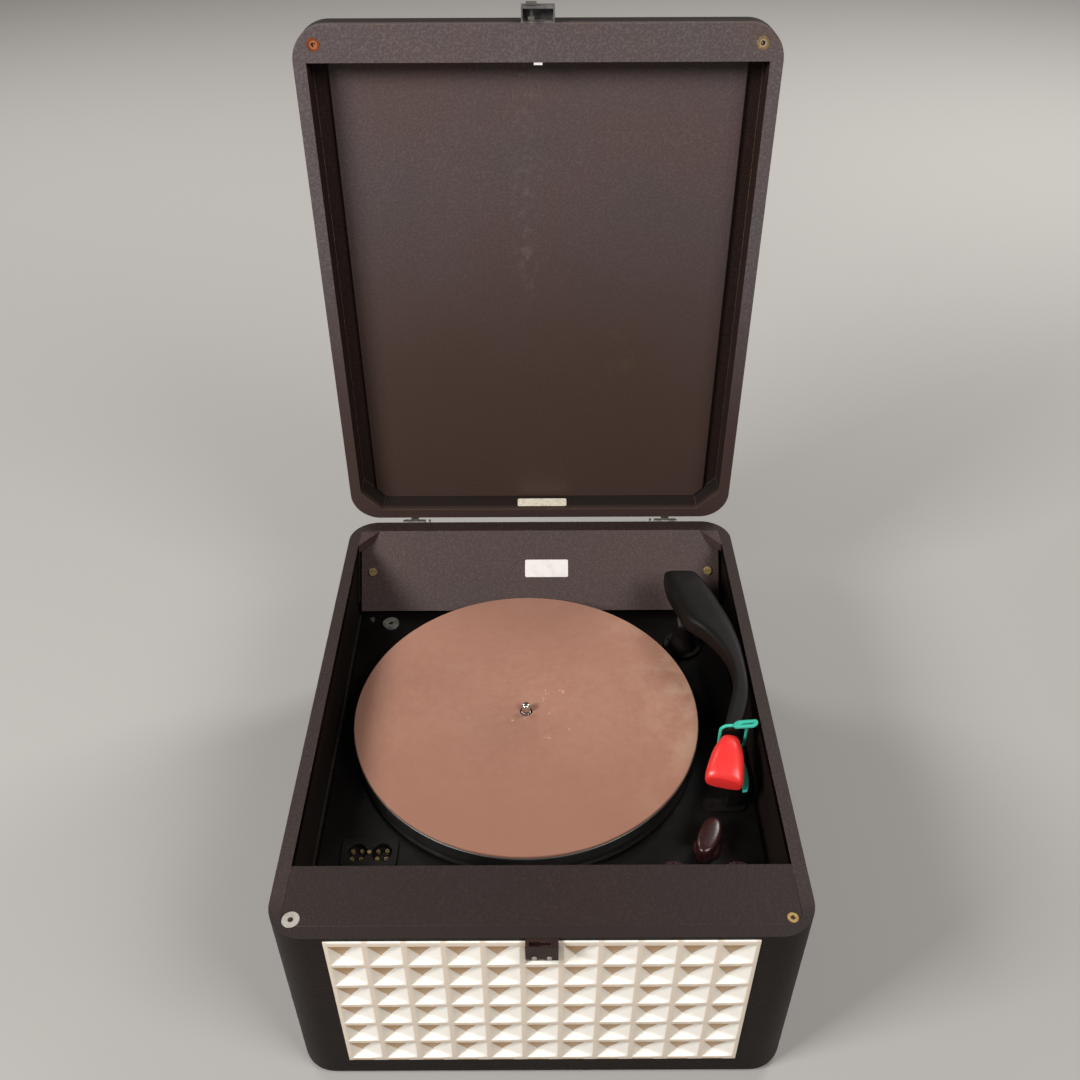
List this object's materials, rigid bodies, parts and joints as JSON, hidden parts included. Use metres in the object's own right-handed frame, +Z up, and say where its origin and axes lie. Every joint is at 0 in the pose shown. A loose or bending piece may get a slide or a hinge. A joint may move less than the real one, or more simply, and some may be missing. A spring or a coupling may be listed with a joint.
{
  "type": "portable_record_player",
  "caption": "Portable valve record player in a dark leathercloth case with its lid open, pinkish mat, red pick-up head and cream grille",
  "frame": {"origin": "On the surface the feet stand on, in the middle of the whole player with its lid open (18.74 mm behind the middle of the case)", "axes": "+X to the right as seen from the grille, +Y from the grille to the hinges, +Z up"},
  "size_m": [0.37, 0.5044, 0.6528],
  "materials": {
    "leathercloth": "grained brown-black leathercloth glued on plywood",
    "plywood": "bare plywood and softwood",
    "screw_steel": "plated, dulled",
    "black_rubber": "matt",
    "brass": "aged",
    "label_card": "blank white label",
    "cream_plastic": "cream moulding, slightly yellowed",
    "speaker_cloth": "brown woven cloth",
    "plain_steel": "zinc plated sheet and laminations",
    "cone_paper": "pressed black paper",
    "black_enamel": "semi-gloss black stove enamel",
    "grey_rubber": "grey grommets",
    "copper_winding": "taped winding",
    "bright_steel": "ground and polished",
    "mat_rubber": "pinkish brown ribbed rubber, dusty",
    "dark_bakelite": "brown-black moulding, dusty",
    "red_plastic": "bright red moulding",
    "green_rubber": "turquoise rubber tie",
    "brown_bakelite": "dark red-brown moulding",
    "chassis_aluminium": "folded sheet",
    "valve_glass": "clear glass bulb",
    "dull_steel": "tarnished grey-green plating",
    "brown_enamel": "dark brown enamel"
  },
  "bodies": {
    "base": {"case_walls": "leathercloth", "front_lip_board": "leathercloth", "partition_board": "leathercloth", "bottom_panel": "plywood", "case_rails": "plywood", "wood_screws": "screw_steel", "feet": "black_rubber", "foot_screws": "screw_steel", "corner_gussets": "leathercloth", "back_panel": "leathercloth", "back_panel_screws": "brass", "case_trim": "label_card", "grille": "cream_plastic", "grille_cloth": "speaker_cloth", "baffle_board": "plywood", "speaker_basket": "plain_steel", "speaker_cone": "cone_paper", "speaker_magnet": "plain_steel", "deck_plate": "black_enamel", "deck_washers": "grey_rubber", "deck_screws": "screw_steel", "motor_stack": "plain_steel", "motor_coil": "copper_winding", "motor_brackets": "plain_steel", "idler_post": "plain_steel", "spindle_bush": "brass", "thrust_ball": "bright_steel", "arm_pedestal": "dark_bakelite", "arm_rest": "dark_bakelite", "control_bodies": "plain_steel", "selector_block": "dark_bakelite", "selector_contacts": "brass", "amplifier_chassis": "chassis_aluminium", "transformers": "plain_steel", "valves": "valve_glass", "cord_gland": "black_rubber", "hinge_leaves_base": "dull_steel", "hinge_pins": "dull_steel", "latch_strike": "brown_enamel"},
    "lid": {"lid_shell": "leathercloth", "lid_panel": "leathercloth", "lid_fittings": "dull_steel", "hinge_leaves_lid": "dull_steel"},
    "slider": {"latch_slider": "dull_steel"},
    "turntable": {"platter": "black_enamel", "platter_mat": "mat_rubber", "spindle": "bright_steel"},
    "rotor": {"motor_rotor": "plain_steel"},
    "idler_carrier": {"idler_arm": "plain_steel"},
    "idler": {"idler_wheel": "black_rubber"},
    "turret": {"arm_turret": "plain_steel", "arm_lift_pin": "bright_steel"},
    "tonearm": {"arm_bracket": "plain_steel", "tonearm_shell": "dark_bakelite", "pickup_head": "red_plastic", "stylus": "bright_steel", "transport_tie": "green_rubber"},
    "speed_control": {"speed_knob": "brown_bakelite"},
    "volume_control": {"volume_knob": "cream_plastic"},
    "tone_control": {"tone_knob": "cream_plastic"}
  },
  "joints": [
    {"name": "lid_hinge", "type": "hinge", "parent": "base", "child": "lid", "pos_m": [0, 0.21026, 0.1852], "axis": [1, 0, 0], "range_deg": [0, 91]},
    {"name": "latch_slide", "type": "slide", "parent": "lid", "child": "slider", "axis": [1, 0, 0], "range_m": [0, 0.007]},
    {"name": "platter_spin", "type": "hinge", "parent": "base", "child": "turntable", "pos_m": [-0.0125, -0.00674, 0.13], "axis": [0, 0, 1], "continuous": true},
    {"name": "motor_spin", "type": "hinge", "parent": "base", "child": "rotor", "pos_m": [-0.11069, 0.03243, 0.1], "axis": [0, 0, 1], "continuous": true},
    {"name": "idler_shift", "type": "hinge", "parent": "base", "child": "idler_carrier", "pos_m": [-0.09691, 0.02856, 0.125], "axis": [0, 0, 1], "range_deg": [-5, 0]},
    {"name": "idler_spin", "type": "hinge", "parent": "idler_carrier", "child": "idler", "pos_m": [-0.11876, 0.05461, 0.133], "axis": [0, 0, 1], "continuous": true},
    {"name": "arm_swing", "type": "hinge", "parent": "base", "child": "turret", "pos_m": [0.134, 0.09726, 0.15], "axis": [0, 0, 1], "range_deg": [-40, 0]},
    {"name": "arm_lift", "type": "hinge", "parent": "turret", "child": "tonearm", "pos_m": [0.134, 0.09726, 0.174], "axis": [1, 0, 0], "range_deg": [-14, 0]},
    {"name": "speed_turn", "type": "hinge", "parent": "base", "child": "speed_control", "pos_m": [0.1295, -0.12874, 0.12], "axis": [0, 0, 1], "range_deg": [-60, 0]},
    {"name": "volume_turn", "type": "hinge", "parent": "base", "child": "volume_control", "pos_m": [0.1, -0.16124, 0.12], "axis": [0, 0, 1], "range_deg": [-270, 0]},
    {"name": "tone_turn", "type": "hinge", "parent": "base", "child": "tone_control", "pos_m": [0.148, -0.16124, 0.12], "axis": [0, 0, 1], "range_deg": [-270, 0]}
  ],
  "couplings": [
    {"joint": "motor_spin", "follows": "platter_spin", "ratio": -43.333},
    {"joint": "idler_spin", "follows": "platter_spin", "ratio": 7.15}
  ]
}
